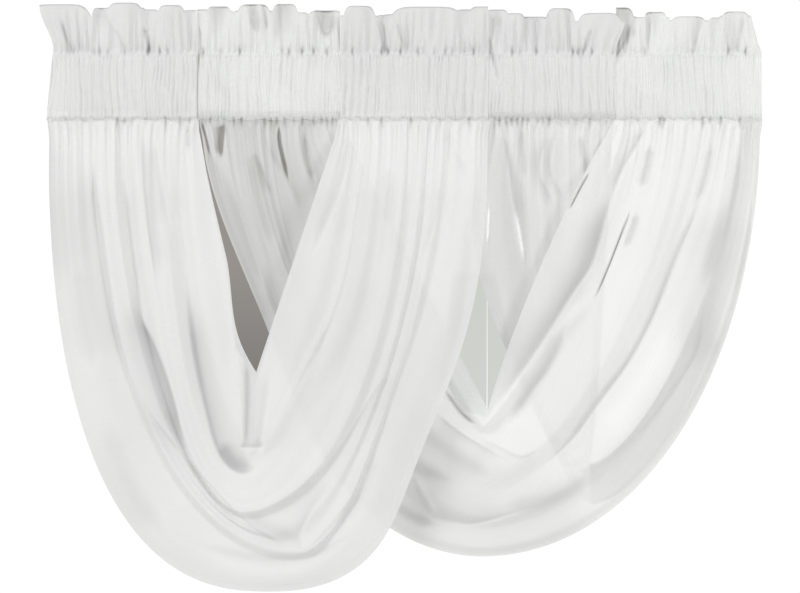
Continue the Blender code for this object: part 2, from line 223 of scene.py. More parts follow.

# Creases of the ruffles, from the edge down to the seam, and of the pockets beside it. As on the
# swags, their cover value is also painted shade.
RUFFLE_CREASES = {
    "heading_1": [
        Crease("trough", 2.0, 3, 0.9, ((-430, 84), (-424, 66), (-415, 40))),
        Crease("under_left", 3.0, 6, 1.0, ((-382, 104), (-372, 86), (-356, 62), (-338, 38))),
        Crease("trough", 2.5, 2.5, 1.6, ((-328, 76), (-322, 60), (-318, 36))),
        Crease("under_right", 2.5, 6, 0.8, ((-298, 92), (-295, 68), (-293, 36)))],
    "heading_2": [
        Crease("trough", 4.0, 5, 3.0, ((-196, 130), (-193, 106), (-188, 86), (-183, 60))),
        Crease("trough", 2.0, 2.2, 1.6, ((-179, 122), (-175, 94), (-172, 66))),
        Crease("trough", 1.0, 4, 2.2, ((-262, 92), (-248, 104), (-232, 106), (-214, 96))),
        Crease("under_left", 2.5, 6, 0.7, ((-156, 108), (-153, 80), (-150, 38))),
        Crease("trough", 4.0, 8, 3.2, ((-104, 134), (-102, 104), (-99, 84), (-97, 56))),
        Crease("trough", 3.0, 2, 2.0, ((-260, 84), (-256, 62), (-258, 30), (-260, -10), (-259, -60)))],
    "heading_3": [
        Crease("trough", 3.0, 3, 1.6, ((-32, 84), (-27, 64), (-24, 36))),
        Crease("under_right", 3.0, 4, 1.6, ((-14, 84), (-6, 62), (2, 38))),
        Crease("under_left", 2.0, 7, 0.5, ((40, 102), (38, 76), (34, 38)))],
    "heading_4": [
        Crease("trough", 3.0, 3, 1.3, ((97, 76), (106, 50), (114, 22), (118, 0))),
        Crease("under_right", 2.5, 6, 0.9, ((150, 104), (149, 80), (145, 30))),
        Crease("trough", 2.0, 3, 0.8, ((165, 88), (165, 66), (166, 34))),
        Crease("under_left", 2.5, 6, 0.8, ((176, 100), (181, 76), (190, 36))),
        Crease("trough", 2.0, 4, 0.6, ((204, 106), (204, 76), (204, 36))),
        Crease("trough", 2.5, 2.5, 1.8, ((234, 74), (228, 58), (221, 36)))],
    "heading_5": [
        # painted shade: this first crease darkens heading_5 beside the flap of heading_4
        Crease("trough", 4.0, 9, 3.2, ((268, 118), (277, 92), (270, 66), (256, 34), (248, 14))),
        Crease("trough", 1.0, 3, 1.6, ((296, 90), (306, 97), (322, 96), (338, 88))),
        Crease("under_left", 3.0, 5, 1.8, ((309, 108), (307, 80), (303, 36))),
        Crease("under_left", 3.5, 5, 2.0, ((376, 108), (370, 78), (360, 38))),
        Crease("under_right", 3.0, 9, 1.3, ((402, 110), (400, 80), (402, 50), (408, 36))),
        Crease("trough", 2.0, 3, 0.8, ((424, 90), (419, 66), (414, 30)))],
}

# Where the cloth is pinched hard under the stitching, along the top and the bottom seam.
TOP_PINCHES = (-424, -416, -388, -381, -372, -350, -340, -322, -306, -296, -252, -231, -206, -154, -145,
               -129, -114, -98, -66, -30, -21, -6, 16, 22, 36, 50, 58, 74, 86, 106, 134, 144, 164,
               191, 210, 216, 222, 234, 259, 266, 275, 300, 359, 404, 425)
BOTTOM_PINCHES = (-424, -402, -359, -350, -340, -324, -299, -281, -269, -256, -249, -244, -234, -226, -214,
                  -205, -186, -176, -168, -160, -150, -139, -128, -115, -104, -97, -91, -86, -46, -30, 8, 44,
                  80, 112, 118, 126, 133, 140, 147, 154, 166, 173, 180, 190, 205, 214, 222, 231, 244, 252,
                  275, 283, 291, 318, 324, 360, 372, 381, 395, 418, 430)

# A row per lobe of a ruffle, left to right: its middle and half width along the rod, the height of
# its top, how far it swings forward (minus) or back as a share of the wave, and how far its edge
# sinks at its ends.
Lobe = namedtuple("Lobe", "middle half_width top swing notch")
RUFFLE_LOBES = {
    "heading_1": [
        Lobe(-432, 41, 103, -1.0, 18), Lobe(-381, 11, 99, 0.4, 13), Lobe(-350, 20, 105, -1.0, 6),
        Lobe(-320, 13, 97, 0.3, 6), Lobe(-292, 16, 102, -0.9, 7), Lobe(-266, 11, 96, 0.3, 3)],
    "heading_2": [
        Lobe(-253, 9, 97, -0.5, 3), Lobe(-233, 15, 101, 0.9, 6), Lobe(-189, 20, 103, -0.9, 8),
        Lobe(-150, 16, 104, 0.9, 11), Lobe(-129, 9, 93, -0.6, 6), Lobe(-99, 21, 96, 0.7, 5)],
    "heading_3": [
        Lobe(-57, 20, 101, -0.9, 12), Lobe(-24, 12, 90, 0.6, 3), Lobe(27, 43, 100, -0.8, 9),
        Lobe(76, 12, 97, 0.5, 4), Lobe(97, 16, 100, -0.8, 5)],
    "heading_4": [
        Lobe(115, 14, 97, 0.4, 6), Lobe(137, 12, 92, -0.5, 5), Lobe(161, 18, 88, 0.5, 3),
        Lobe(194, 19, 98, -1.0, 18), Lobe(243, 27, 92, -0.9, 10)],
    "heading_5": [
        Lobe(268, 18, 100, 0.9, 12), Lobe(296, 9, 87, -0.4, 4), Lobe(313, 14, 94, 0.5, 7),
        Lobe(354, 21, 88, -0.8, 5), Lobe(391, 11, 87, 0.4, 4), Lobe(413, 16, 94, -0.8, 5)],
}

# Swag sheets, in mm. Under its seam each arm spreads past its solid and rises into the seam. The fine
# and the wide gathers have a pitch, a depth and the drop over which they fade, and start below the seam.
SEAM_SPREAD, SPREAD_DROP = 3.0, 14.0
TUCK_RISE, TUCK_DROP = 1.2, 6.0
FINE_PITCH, FINE_DEPTH, FINE_FADE = 7.0, 1.3, 38.0
WIDE_PITCH, WIDE_DEPTH, WIDE_FADE = 15.0, 1.5, 120.0
GATHER_START = 9.0
HEM_WIDTH, HEM_STITCH = 11.0, 10.5

# The hook of the neckline fades out over these rows of folds. The calm comes in from the first share
# of half a turn along the strip, over the second.
HOOK_ROWS = 1.5
CALM_START, CALM_LENGTH = 0.3, 0.22

# Both kinds of sheet, in mm: the pitch of the stitches, the small tucks under a seam, and how soft the
# sharp side of an under crease is.
STITCH_PITCH = 3.2
PINCH_SLANT, PINCH_HALF_WIDTH, PINCH_LENGTH = 0.25, 1.9, 6.0
CREASE_EDGE = 0.9

# How much cover the small tucks add, in layers of cloth. It also draws the tucks darker, as painted
# shade.
TOP_PINCH_COVER_AND_SHADE, BOTTOM_PINCH_COVER_AND_SHADE, SWAG_PINCH_COVER_AND_SHADE = 3.0, 3.6, 2.4

# Heading sheets, in mm: how far in its ends are pinched, flared or leant, how deep the pocket is from
# its middle, and the pitches of its gathers. A lobe reaches to LOBE_REACH half widths, and past that its
# edge falls. RUN_PER_WIDTH draws the weave closer across a heading than on flat cloth.
END_REACH, POCKET_HALF_DEPTH = 45.0, 8.9
PUCKER_PITCH, LONG_FOLD_PITCH, RUFFLE_PITCH = 5.8, 13.0, 8.5
LOBE_REACH, LOBE_FALL = 1.2, 60.0
RUN_PER_WIDTH = 1.9

# The back swag's density: it thins beyond a line that runs through SLANT_TOP along SLANT_RUN, as (x, z)
# in mm. Past the turn at its foot it gets denser and darker below LOW_ARM_TOP, as painted shade.
SLANT_TOP, SLANT_RUN, SLANT_EASE = (247, -149), (103, 167), 14.0
HIDDEN_ARM_LOSS, TURN_START, TURN_LENGTH = 0.78, 0.48, 0.03
LOW_ARM_SHADE_GAIN, LOW_ARM_TOP, LOW_ARM_EASE = 1.3, 210.0, 130.0


# Small helpers
def smooth(value):
    """Ease from 0 to 1 with level ends."""
    value = np.clip(value, 0.0, 1.0)
    return value * value * (3.0 - 2.0 * value)


def fades(distance, reach):
    """A bell that is 1 at no distance and has fallen to a third at the reach."""
    return np.exp(-(distance / reach) ** 2)


def linear(hexcode):
    """A colour given as sRGB hex, turned to linear RGBA."""
    channels = [int(hexcode[i:i + 2], 16) / 255 for i in (1, 3, 5)]
    return tuple(c / 12.92 if c <= 0.04045 else ((c + 0.055) / 1.055) ** 2.4 for c in channels) + (1.0,)


def wander(place, pitch, seed):
    """Phase of uneven gathers about one pitch apart: a steady run plus three slower waves."""
    return 2 * math.pi * (place / pitch + 0.55 * np.sin(place / (2.1 * pitch) + seed)
                          + 0.4 * np.sin(place / (4.7 * pitch) + 2.3 * seed)
                          + 0.3 * np.sin(place / (1.3 * pitch) + 5.1 * seed))


def puckers(phase):
    """Rounded rolls with sharp valleys between them: twice the bent sine, less one."""
    return 2.0 * np.abs(np.sin(phase / 2)) - 1.0


def lengths(points, axis):
    """Length of the cloth from its edge to each point, along rows (1) or across them (0)."""
    steps = np.linalg.norm(np.diff(points, axis=axis), axis=2)
    first = np.zeros((1, points.shape[1]) if axis == 0 else (points.shape[0], 1))
    return np.concatenate([first, np.cumsum(steps, axis=axis)], axis=axis)


def cloth_object(name, points, along, across, values, node, material):
    """A grid of points (mm) made one mesh, with a cloth UV map in metres and its point values."""
    rows, columns = points.shape[:2]
    index = np.arange(rows * columns).reshape(rows, columns)
    quads = np.stack([index[:-1, :-1], index[:-1, 1:], index[1:, 1:], index[1:, :-1]], axis=-1)
    quads = quads.reshape(-1, 4)
    mesh = bpy.data.meshes.new(name)
    mesh.from_pydata((points.reshape(-1, 3) * MM).tolist(), [], quads.tolist())
    mesh.update()
    corners = quads.reshape(-1)
    uv = mesh.uv_layers.new(name="cloth")
    flat = np.stack([along.reshape(-1)[corners], across.reshape(-1)[corners]], axis=-1) * MM
    uv.data.foreach_set("uv", flat.astype(np.float32).reshape(-1))
    for label, value in values.items():
        layer = mesh.attributes.new(label, "FLOAT", "POINT")
        layer.data.foreach_set("value", np.ascontiguousarray(value, np.float32).reshape(-1))
    mesh.polygons.foreach_set("use_smooth", np.ones(len(mesh.polygons), bool))
    mesh.materials.append(material)
    thing = bpy.data.objects.new(name, mesh)
    bpy.context.scene.collection.objects.link(thing)
    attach(thing, "root")
    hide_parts(node)
    return thing


# Cloth shapes
def smooth_path(path, steps=7):
    """Points on a Catmull-Rom curve through the path."""
    p = np.array(path, float)
    p = np.vstack([2 * p[0] - p[1], p, 2 * p[-1] - p[-2]])
    t = np.linspace(0, 1, steps, endpoint=False)[:, None]
    runs = [0.5 * (2 * b + (c - a) * t + (2 * a - 5 * b + 4 * c - d) * t ** 2
                   + (3 * b - a - 3 * c + d) * t ** 3) for a, b, c, d in zip(p, p[1:], p[2:], p[3:])]
    return np.vstack(runs + [p[-2:-1]])


def press_crease(crease, x, z, depth, cover):
    """Adds one crease to a sheet's depth and to its cover value, which is also painted shade, from the
    distance to its path and the place along it. It eases in and out over a quarter of its run, and
    narrows there to a third of its width."""
    line = smooth_path(crease.path)
    reach = 3.0 * crease.width + 6.0
    near = ((x > line[:, 0].min() - reach) & (x < line[:, 0].max() + reach)
            & (z > line[:, 1].min() - reach) & (z < line[:, 1].max() + reach))
    px, pz = x[near], z[near]
    best, signed, run = np.full(px.shape, 1e9), np.zeros(px.shape), np.zeros(px.shape)
    for k, (a, b) in enumerate(zip(line, line[1:])):
        step = b - a
        length = np.hypot(*step)
        t = np.clip(((px - a[0]) * step[0] + (pz - a[1]) * step[1]) / length ** 2, 0, 1)
        off_x, off_z = px - a[0] - t * step[0], pz - a[1] - t * step[1]
        distance = np.hypot(off_x, off_z)
        closer = distance < best
        best = np.where(closer, distance, best)
        side = step[0] * (pz - a[1]) - step[1] * (px - a[0])
        signed = np.where(closer, np.where(side >= 0, distance, -distance), signed)
        run = np.where(closer, (k + t) / (len(line) - 1), run)
    ease = smooth(run * 4) * smooth((1 - run) * 4)
    width = crease.width * (0.33 + 0.67 * ease)
    if crease.kind in ("trough", "ridge"):
        section = fades(best, width) * ease
        depth[near] += (crease.depth if crease.kind == "trough" else -crease.depth) * section
    else:
        under = signed if crease.kind == "under_right" else -signed
        edge = 1 + np.exp(-np.clip(under / CREASE_EDGE, -30, 30))
        section = np.exp(-np.maximum(under, 0) / width) / edge * ease
        depth[near] += crease.depth * section
    cover[near] += crease.cover * section


def pinch_cover_and_shade(places, x, away):
    """Small dark tucks under a seam at listed spots: a bell of cover across each, whose middle
    slants as it leaves the seam, and another bell away from the seam. Each spot sets its own slant
    and strength, by a sine of its place."""
    # painted shade: each tuck's cover also darkens its colour
    marks = sum(fades(x - place - PINCH_SLANT * away * math.sin(3.7 * place), PINCH_HALF_WIDTH)
                * (0.65 + 0.35 * math.sin(7.1 * place)) for place in places)
    return marks * fades(away, PINCH_LENGTH)


def back_swag_density_and_shade(x, z, turn, drop):
    """How dense the back swag is drawn. Its left arm lies behind the right swag, and beyond a slanting
    line it is drawn thin, easing there to about a fifth. Past the foot, its right arm grows denser and
    darker with its drop, up to 2.3 times, as painted shade. Turn runs from 0 at the left seam to 1 at
    the right one."""
    run_x, run_z = SLANT_RUN
    beyond = ((x - SLANT_TOP[0]) * run_z - (z - SLANT_TOP[1]) * run_x) / math.hypot(run_x, run_z)
    turned = smooth((turn - TURN_START) / TURN_LENGTH)
    thinned = HIDDEN_ARM_LOSS * smooth(beyond / SLANT_EASE) * (1 - turned)
    return 1 - thinned + LOW_ARM_SHADE_GAIN * turned * smooth((drop - LOW_ARM_TOP) / LOW_ARM_EASE)


def swag_sheet(swag, rows, columns, creases, calm, gather_seed):
    """Points of a swag's cloth. Rows run from the neckline to the hem and columns along the strip.

    Each arm of a fold is a quarter of a rounded square: x falls off with a power of the cosine and
    the drop grows with the same power of the sine. On the main folds lie fine gathers that fade
    below the seam, a doubled hem, and the creases of the table. The folds keep their whole depth
    in the left arm and only the share called calm along the bottom and in the right arm.
    """
    count = len(swag.folds) - 1
    position = np.linspace(0, count, rows)
    index = np.minimum(position.astype(int), count - 1)
    share = (position - index)[:, None]
    table = np.array(swag.folds, float)
    plain = table[index] + (table[index + 1] - table[index]) * share
    eased = table[index] + (table[index + 1] - table[index]) * smooth(share)
    row = Fold(*[(eased if name.endswith("depth") else plain)[:, k:k + 1]
                 for k, name in enumerate(Fold._fields)])
    angle = np.linspace(0, math.pi, columns)[None, :]
    left = angle <= math.pi / 2
    bow = np.where(left, row.left_bow, row.right_bow)
    across = np.abs(np.cos(angle)) ** (2 / bow)
    down = np.clip(np.sin(angle), 0, 1) ** (2 / bow)
    top = POCKET_BOTTOM - SEAM_DROP
    drop = (top - row.bottom_z) * down

    # the waist draws the hem side in half way down, and the hook bends the foot of the left neckline
    hem_share = (position[:, None] / count) ** 4
    neck_share = np.maximum(0, 1 - position[:, None] / HOOK_ROWS) ** 2
    hook = swag.neck_hook * neck_share * np.sin(math.pi * np.maximum(0, down / 0.45 - 11 / 9) ** 1.5)
    waist = np.where(
        left, swag.waist_left * hem_share * np.sin(math.pi * down ** swag.waist_left_power) ** 2 - hook,
        -swag.waist_right * hem_share * np.sin(math.pi * down ** swag.waist_right_power) ** 2)
    top_x = np.where(left, row.left_x, row.right_x)
    x = row.bottom_x + (top_x - row.bottom_x) * across + waist
    z = top - drop + TUCK_RISE * (1 - smooth(drop / TUCK_DROP))

    # at the seam each arm spreads a little past its solid on both sides, so no slit of light is left
    neck, hem = swag.folds[0], swag.folds[-1]
    arm_middle = np.where(left, neck.left_x + hem.left_x, neck.right_x + hem.right_x) / 2
    arm_half = np.where(left, neck.left_x - hem.left_x, hem.right_x - neck.right_x) / 2
    x = x + SEAM_SPREAD * (top_x - arm_middle) / arm_half * fades(drop, SPREAD_DROP)

    low = np.sin(angle) ** 4
    side_depth = np.where(left, row.left_depth, row.right_depth)
    fold_depth = side_depth + (row.bottom_depth - side_depth) * low
    calmed = smooth((angle - CALM_START * math.pi) / (CALM_LENGTH * math.pi))
    fold_depth = fold_depth * (1 - (1 - calm) * calmed)
    release = GATHERED_SHARE + (1 - GATHERED_SHARE) * smooth(drop / GATHER_RELEASE)
    layer = swag.seam_y + (swag.layer_y - swag.seam_y) * smooth(drop / LAYER_RELEASE)

    # fine gathers: small puckers that fade soon below the seam, and wider ones that fade further down
    fine = puckers(wander(top_x, FINE_PITCH, gather_seed)) * np.exp(-drop / FINE_FADE)
    wide = np.sin(wander(top_x + 3, WIDE_PITCH, gather_seed + 1.7)) * np.exp(-drop / WIDE_FADE)
    started = smooth(drop / GATHER_START)
    depth = fold_depth * release + (FINE_DEPTH * fine + WIDE_DEPTH * wide) * started
    # painted shade: the cover rises in the sharp valleys of the fine puckers and where the wide gathers sink
    # back, drawing them darker
    cover = 1 + (0.25 * wide - 0.35 * fine) * started
    cover = cover + SWAG_PINCH_COVER_AND_SHADE * pinch_cover_and_shade(BOTTOM_PINCHES, x, 0.7 * drop)
    for crease in creases:
        press_crease(crease, x, z, depth, cover)
    # painted shade: the back swag's right arm is drawn darker down its drop
    if swag is SWAG_BACK:
        cover *= back_swag_density_and_shade(x, z, angle / math.pi, drop)

    points = np.stack([x, layer + depth, z], axis=-1)
    across_run, along_run = lengths(points, 0), lengths(points, 1)
    from_hem = across_run[-1:] - across_run
    edge = np.minimum(across_run, from_hem)
    cover = cover + 0.15 * (1 - smooth((edge - HEM_WIDTH) / 1.5))
    dashes = np.sin(along_run * 2 * math.pi / STITCH_PITCH) > -0.3
    stitch = 0.6 * fades(from_hem - HEM_STITCH, 0.7) * dashes
    return points, along_run, across_run, {"cover": np.clip(cover, 0.05, 6.0), "stitch": stitch}


def ruffle_edge(lobes, x):
    """Height and swing of a ruffle's edge: each lobe is a flat-topped hill, and between lobes the edge
    dips into a notch and swings to the other side."""
    top, swing = np.full(x.shape, POCKET_TOP + RUFFLE_LEAST), np.full(x.shape, -RUFFLE_LEAN)
    for lobe in lobes:
        away = np.abs(x - lobe.middle) / lobe.half_width
        hill = lobe.top - lobe.notch * np.minimum(away, 1) ** 6
        top = np.maximum(top, hill - LOBE_FALL * np.maximum(away - LOBE_REACH, 0))
        bell = np.cos(math.pi * np.minimum(away, LOBE_REACH) / (2 * LOBE_REACH)) ** 2
        swing += (lobe.swing + RUFFLE_LEAN) * np.where(away < LOBE_REACH, bell, 0)
    return top, swing


def heading_sheet(heading, columns, seed):
    """Points of a heading: one cloth that runs up the front of the pocket, through the top seam, up
    the front of the ruffle, over its edge and down the back in the same way. Its section is a flat
    tube with rounded shoulders, and puckers run across both seams."""
    pocket_front, ruffle_front = np.linspace(-1, 1, 30), np.linspace(0, 1, 24)[1:]
    ruffle_back, pocket_back = np.linspace(1, 0, 16)[1:], np.linspace(1, -1, 20)[1:]
    top_level = np.ones(len(ruffle_front) + len(ruffle_back))
    level = np.concatenate([pocket_front, top_level, pocket_back])[:, None]
    height = np.concatenate([0 * pocket_front, ruffle_front, ruffle_back, 0 * pocket_back])[:, None]
    front_rows = len(pocket_front) + len(ruffle_front)
    side = np.where(np.arange(len(level)) < front_rows, -1.0, 1.0)[:, None]
    width = heading.right - heading.left - FIT_GAP
    place = np.linspace(0, 1, columns)[None, :]
    x = heading.left + FIT_GAP / 2 + width * place
    in_ruffle = height > 0

    from_left = smooth(1 - place * width / END_REACH)
    from_right = smooth(1 - (1 - place) * width / END_REACH)
    pinch = heading.pinch_left * from_left
    flare = heading.flare_right * from_right - (heading.flare_left + heading.pinch_left) * from_left
    top, swing = ruffle_edge(RUFFLE_LOBES[heading.name], x + pinch + flare)
    z = np.where(in_ruffle, POCKET_TOP + (top - POCKET_TOP) * height,
                 0.5 * (POCKET_TOP - POCKET_BOTTOM) * level)
    from_seam = POCKET_TOP - np.abs(z)

    # both seams run a little up and down
    z = z + 1.4 * np.sin(wander(x, 37, seed + 2)) * np.exp(-np.abs(z - POCKET_TOP) / 12)
    z = z + 1.0 * np.sin(wander(x, 19, seed + 5)) * np.exp(-np.abs(z - POCKET_BOTTOM) / 6)

    # pocket: rounded shoulders, sharp small puckers at the seams, softer ones through the middle, and
    # patches where the gathers lie closer
    shoulder = np.sqrt(np.clip(1 - np.abs(level) ** 5, 0, 1))
    body = SEAM_HALF_THICKNESS + (POCKET_HALF_DEPTH - SEAM_HALF_THICKNESS) * shoulder
    phase = wander(x + 1.5 * np.sin(z / 17 + x / 31), PUCKER_PITCH, seed + side)
    patch = (np.sin(x / 9.3 + 2.1 * seed + 1.3 * np.sin(z / 11))
             * np.sin(x / 17.9 - seed + 0.9 * np.cos(z / 19 + x / 40)))
    held = 0.45 + 0.6 * np.exp(-from_seam / 8) + 0.55 * patch
    long_folds = 0.8 * np.sin(wander(x + 2.5 * np.sin(z / 29 + seed), LONG_FOLD_PITCH, seed + 6))
    pocket_out = body + (0.95 * held * puckers(phase) + long_folds) * smooth(from_seam / 3)
    pocket_middle = heading.seam_y * (1 - smooth(from_seam / 10)) * (z < 0)

    # ruffle: puckers at the seam that open into the lobes
    ruffle_phase = wander(x, RUFFLE_PITCH, seed + 4)
    waves = RUFFLE_WAVE * swing * height ** 0.9
    lean = heading.lean_left * from_left + heading.lean_right * from_right
    small = 2.0 * puckers(ruffle_phase) * (1 - height) ** 1.6 * smooth(height * 9)
    curl = 1.3 * np.sin(wander(x, 13, seed + 9)) * np.sin(math.pi * height)
    ruffle_middle = waves + lean * height + small + curl
    thin = RUFFLE_HALF_THICKNESS * np.sqrt(np.clip(1 - height ** 6, 0, 1)) + 0.4 * (1 - height)

    shift = np.where(in_ruffle, pinch + flare * smooth((height - 0.1) / 0.9), pinch * (level + 1) / 2)
    y = np.where(in_ruffle, ruffle_middle + side * thin, pocket_middle + side * pocket_out)
    # painted shade: lobes that swing back are drawn denser and darker towards the edge, and the ruffle's
    # puckers darker in their valleys near the seam. In the pocket the cover is denser where the gathers lie
    # closer, and painted darker in the valleys of the puckers.
    shaded = 1.3 * np.maximum(swing, 0) * height ** 1.5 - 0.2 * puckers(ruffle_phase) * (1 - height)
    strands = np.sin(wander(x + 0.8 * np.sin(z / 13), 3.9, seed + 8)) * np.sin(z / 21 + x / 7.7 + seed)
    gathered = 0.94 - 0.2 * held * puckers(phase) + 0.3 * patch + 0.16 * strands
    cover = np.where(in_ruffle, 0.95 + shaded, gathered)
    cover = cover + TOP_PINCH_COVER_AND_SHADE * pinch_cover_and_shade(TOP_PINCHES, x, np.abs(z - POCKET_TOP - 3))
    cover = cover + BOTTOM_PINCH_COVER_AND_SHADE * pinch_cover_and_shade(BOTTOM_PINCHES, x, np.abs(z - POCKET_BOTTOM) * 1.5)
    x, y, z = [np.array(values) for values in np.broadcast_arrays(x + shift, y, z)]
    cover = np.array(np.broadcast_to(cover, x.shape))
    front = np.broadcast_to(side < 0, x.shape)
    # the creases add depth and cover, painted shade too, on the front of the cloth only
    for crease in RUFFLE_CREASES[heading.name]:
        pressed, denser = np.zeros(x.shape), np.zeros(x.shape)
        press_crease(crease, x, z, pressed, denser)
        y += np.where(front, pressed, 0.0)
        cover += np.where(front, denser, 0.0)
    points = np.stack([x, y, z], axis=-1)
    length = lengths(points, 0)
    stitch = fades(from_seam, 1.1) * (np.sin(x * 2 * math.pi / STITCH_PITCH) > -0.2)
    along = np.broadcast_to(x * RUN_PER_WIDTH, length.shape)
    return points, along, length, {"cover": np.clip(cover, 0.5, 6),
                                   "stitch": np.broadcast_to(stitch, length.shape)}


# Materials
def add_node(tree, kind, settings=None, links=None):
    """Adds a node, sets its properties and sockets, and links its inputs to other nodes' outputs."""
    node = tree.nodes.new(kind)
    for key, value in (settings or {}).items():
        if isinstance(key, str) and hasattr(node, key):
            setattr(node, key, value)
        else:
            node.inputs[key].default_value = value
    for key, output in (links or {}).items():
        tree.links.new(output, node.inputs[key])
    return node


def fresh_material(name):
    """A material with an empty node tree."""
    material = bpy.data.materials.new(name)
    material.use_nodes = True
    material.node_tree.nodes.clear()
    return material, material.node_tree


def polyester_voile(name, thread, fold, clear_share, behind_share):
    """Polyester voile, plain woven from fine twisted yarn about 0.3 mm apart: matt and soft, it lets
    light through between the yarns and glows when lit from behind. Each layer counted in the cover
    value lets the same share of the light past, so doubled cloth reads denser. The cover value also
    paints shade: from 1.1 layers up the colour moves towards the fold colour, as painted shade in
    folds, creases and tucks. The yarn slubs are drawn 1 mm wide, as finer ones would not show."""
    material, tree = fresh_material(name)
    cover = add_node(tree, "ShaderNodeAttribute", {"attribute_name": "cover"})
    stitch = add_node(tree, "ShaderNodeAttribute", {"attribute_name": "stitch"})
    cloth = add_node(tree, "ShaderNodeUVMap", {"uv_map": "cloth"})
    run = add_node(tree, "ShaderNodeMapping", {"Scale": (35.0, 1000.0, 1.0)},
                   {"Vector": cloth.outputs["UV"]})
    rise = add_node(tree, "ShaderNodeMapping", {"Scale": (1000.0, 45.0, 1.0)},
                    {"Vector": cloth.outputs["UV"]})
    warp = add_node(tree, "ShaderNodeTexNoise", {"Scale": 1.0, "Detail": 2.0}, {"Vector": run.outputs[0]})
    weft = add_node(tree, "ShaderNodeTexNoise", {"Scale": 1.0, "Detail": 2.0}, {"Vector": rise.outputs[0]})
    slub = add_node(tree, "ShaderNodeMath", {"operation": "ADD"},
                    {0: warp.outputs["Fac"], 1: weft.outputs["Fac"]})
    slub_share = add_node(tree, "ShaderNodeMapRange", {
        "From Min": 0.7, "From Max": 1.3, "To Min": 0.88, "To Max": 1.12}, {"Value": slub.outputs[0]})
    dense = add_node(tree, "ShaderNodeMath", {"operation": "MULTIPLY"},
                     {0: cover.outputs["Fac"], 1: slub_share.outputs[0]})
    sewn = add_node(tree, "ShaderNodeMath", {"operation": "ADD"},
                    {0: dense.outputs[0], 1: stitch.outputs["Fac"]})
    clear = add_node(tree, "ShaderNodeMath", {"operation": "POWER", 0: clear_share}, {1: sewn.outputs[0]})
    # painted shade: from 1.1 layers of cover up, the colour moves towards the darker fold colour
    fold_shade_share = add_node(tree, "ShaderNodeMapRange", {"From Min": 1.1, "From Max": 4.6},
                       {"Value": cover.outputs["Fac"]})
    tone = add_node(tree, "ShaderNodeMix", {"data_type": "RGBA"}, {0: fold_shade_share.outputs[0]})
    tone.inputs[6].default_value, tone.inputs[7].default_value = linear(thread), linear(fold)
    place = add_node(tree, "ShaderNodeTexCoord")
    cloud = add_node(tree, "ShaderNodeTexNoise", {"Scale": 7.0, "Detail": 3.0},
                     {"Vector": place.outputs["Object"]})
    faint_cloud = add_node(tree, "ShaderNodeMapRange", {
        "From Min": 0.3, "From Max": 0.7, "To Min": 0.975, "To Max": 1.02}, {"Value": cloud.outputs["Fac"]})
    shade = add_node(tree, "ShaderNodeHueSaturation",
                     links={"Color": tone.outputs[2], "Value": faint_cloud.outputs[0]})
    bump = add_node(tree, "ShaderNodeBump", {"Strength": 0.25, "Distance": 0.0003},
                    {"Height": slub.outputs[0]})
    front = add_node(tree, "ShaderNodeBsdfPrincipled", {
        "Roughness": 0.82, "Specular IOR Level": 0.25, "Sheen Weight": 0.12, "Sheen Roughness": 0.4},
        {"Base Color": shade.outputs[0], "Normal": bump.outputs[0]})
    through = add_node(tree, "ShaderNodeBsdfTranslucent",
                       links={"Color": shade.outputs[0], "Normal": bump.outputs[0]})
    gap = add_node(tree, "ShaderNodeBsdfTransparent")
    yarn = add_node(tree, "ShaderNodeMixShader", {0: behind_share},
                    {1: front.outputs[0], 2: through.outputs[0]})
    weave = add_node(tree, "ShaderNodeMixShader",
                     links={0: clear.outputs[0], 1: yarn.outputs[0], 2: gap.outputs[0]})
    add_node(tree, "ShaderNodeOutputMaterial", links={"Surface": weave.outputs[0]})
    return material


def painted_shade_card_material(name, low, high, low_z, high_z):
    """A card that glows with its own tone, shaded evenly from one height to another: painted shade for
    the dim background seen through a gap in the cloth. It gives off its own tone, so that the studio's
    lights don't change it."""
    material, tree = fresh_material(name)
    place = add_node(tree, "ShaderNodeTexCoord")
    split = add_node(tree, "ShaderNodeSeparateXYZ", links={0: place.outputs["Object"]})
    rise = add_node(tree, "ShaderNodeMapRange", {"From Min": low_z, "From Max": high_z},
                    {"Value": split.outputs["Z"]})
    tone = add_node(tree, "ShaderNodeMix", {"data_type": "RGBA"}, {0: rise.outputs[0]})
    tone.inputs[6].default_value, tone.inputs[7].default_value = linear(low), linear(high)
    glow = add_node(tree, "ShaderNodeEmission", links={"Color": tone.outputs[2]})
    add_node(tree, "ShaderNodeOutputMaterial", links={"Surface": glow.outputs[0]})
    return material


# the second colour of each voile is the painted shade that its folds, creases and tucks take on
cool = polyester_voile("polyester voile cool white", "#f0f0f0", "#a5a6a6", 0.09, 0.30)
warm = polyester_voile("polyester voile warm white", "#f5f6f4", "#a9a8a4", 0.22, 0.30)

# The valance
WARM_PIECES = ("heading_2", "heading_5", "swag_right")
FULLNESS, HEADING_CUT, HEADING_COLUMNS = 1.5, 0.26, 250


def voile_piece(node, sheet):
    """One piece of cloth that takes a node's place, in the white that its strip is made of."""
    points, along, across, values = sheet
    slot, material = ("voile_warm_white", warm) if node in WARM_PIECES else ("voile_cool_white", cool)
    return cloth_object(node + "_voile", points, along, across, values, node, material)


for number, heading in enumerate(HEADINGS):
    piece = voile_piece(heading.name, heading_sheet(heading, HEADING_COLUMNS, 1.3 * number + 0.7))

